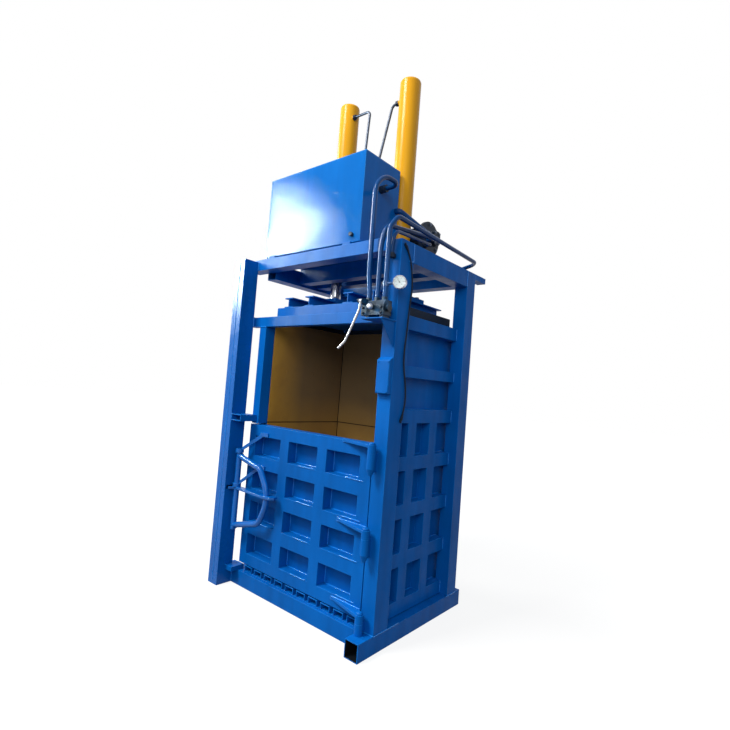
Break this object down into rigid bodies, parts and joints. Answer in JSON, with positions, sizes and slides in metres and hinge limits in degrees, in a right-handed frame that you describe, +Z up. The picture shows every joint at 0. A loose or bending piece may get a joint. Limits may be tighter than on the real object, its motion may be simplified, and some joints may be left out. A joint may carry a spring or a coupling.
{
  "type": "recycling baler",
  "caption": "Upright hydraulic recycling baler with a hinged ribbed door, an open feed front, a press plate on overhead cylinders, an oil tank and a motor on top.",
  "frame": {"origin": "centre of the underside of the middle base beam, on the floor, in the middle between the side posts", "axes": "+Z up, -Y towards the loading side with the door, +X towards the door's hinges"},
  "size_m": [1.4139, 1.1445, 3.432],
  "materials": {
    "frame_paint": "gloss blue paint",
    "liner_paint": "worn golden brown paint",
    "cylinder_paint": "gloss yellow paint",
    "bare_steel": "ground steel",
    "rod_chrome": "polished chrome",
    "black_fitting": "black oxide",
    "motor_cast": "dark painted casting",
    "valve_cast": "dark painted casting",
    "line_steel": "dark painted tube",
    "fan_plastic": "matt",
    "cable_rubber": "matt sheath",
    "gauge_metal": "polished bezel",
    "gauge_glass": "clear",
    "needle_paint": "black",
    "box_plastic": "blue paint"
  },
  "bodies": {
    "frame": {"base_rails": "frame_paint", "base_front_beam": "frame_paint", "base_cross_beams": "frame_paint", "post_front_right": "frame_paint", "posts_rear": "frame_paint", "front_stiles": "frame_paint", "jamb": "frame_paint", "top_side_beams": "frame_paint", "top_front_beam": "frame_paint", "top_rear_beam": "frame_paint", "saddle_beams": "frame_paint", "rear_stubs": "frame_paint", "latch_post": "frame_paint", "latch_ties": "frame_paint", "header": "frame_paint", "floor_deck": "frame_paint", "floor_channels": "frame_paint", "wall_right": "frame_paint", "wall_left": "frame_paint", "wall_rear": "frame_paint", "chamber_liners": "liner_paint", "hinge_lugs": "frame_paint", "cylinder_left": "cylinder_paint", "cylinder_right": "cylinder_paint", "cylinder_flanges": "frame_paint", "tank_bearers": "frame_paint", "tank": "frame_paint", "tank_lid": "frame_paint", "pipe_fittings": "black_fitting", "motor_mount": "frame_paint", "motor_body": "motor_cast", "fan_cowl": "motor_cast", "pump": "black_fitting", "suction_pipe": "frame_paint", "valve_shelf": "frame_paint", "valve_body": "valve_cast", "pipe_tank_return": "frame_paint", "pipe_pump": "frame_paint", "pipe_rod_side": "frame_paint", "pump_line": "frame_paint", "cap_lines": "line_steel", "gauge_case": "gauge_metal", "gauge_glass": "gauge_glass", "post_box": "box_plastic", "cable": "cable_rubber", "cable_glands": "black_fitting"},
    "press": {"platen_tray": "frame_paint", "platen_joists": "frame_paint", "rod_feet": "frame_paint", "piston_rods": "rod_chrome"},
    "door": {"door_ribs": "frame_paint", "door_sheet": "frame_paint", "hinge_arms": "frame_paint", "lock_bearings": "frame_paint"},
    "lock": {"lock_shaft": "frame_paint", "lock_handle": "frame_paint"},
    "lever": {"valve_lever": "bare_steel"},
    "needle": {"gauge_needle": "needle_paint"},
    "fan": {"motor_fan": "fan_plastic"}
  },
  "joints": [
    {"name": "press_stroke", "type": "slide", "parent": "frame", "child": "press", "axis": [0, 0, -1], "range_m": [0, 0.99]},
    {"name": "door_swing", "type": "hinge", "parent": "frame", "child": "door", "pos_m": [0.548, -0.464, 0.6], "axis": [0, 0, 1], "range_deg": [0, 110]},
    {"name": "lock_turn", "type": "hinge", "parent": "door", "child": "lock", "pos_m": [-0.576, -0.484, 0.6], "axis": [0, 0, 1], "range_deg": [-68, 0]},
    {"name": "lever_swing", "type": "hinge", "parent": "frame", "child": "lever", "pos_m": [0.455, -0.537, 1.844], "axis": [1, 0, 0], "range_deg": [-10, 10], "stiffness_Nm_per_rad": 6},
    {"name": "gauge_sweep", "type": "hinge", "parent": "frame", "child": "needle", "pos_m": [0.664, -0.48, 1.939], "axis": [0.342, -0.9397, 0], "range_deg": [-170, 100]},
    {"name": "fan_spin", "type": "hinge", "parent": "frame", "child": "fan", "pos_m": [0.133, 0.17, 2.395], "axis": [1, 0, 0], "continuous": true}
  ]
}
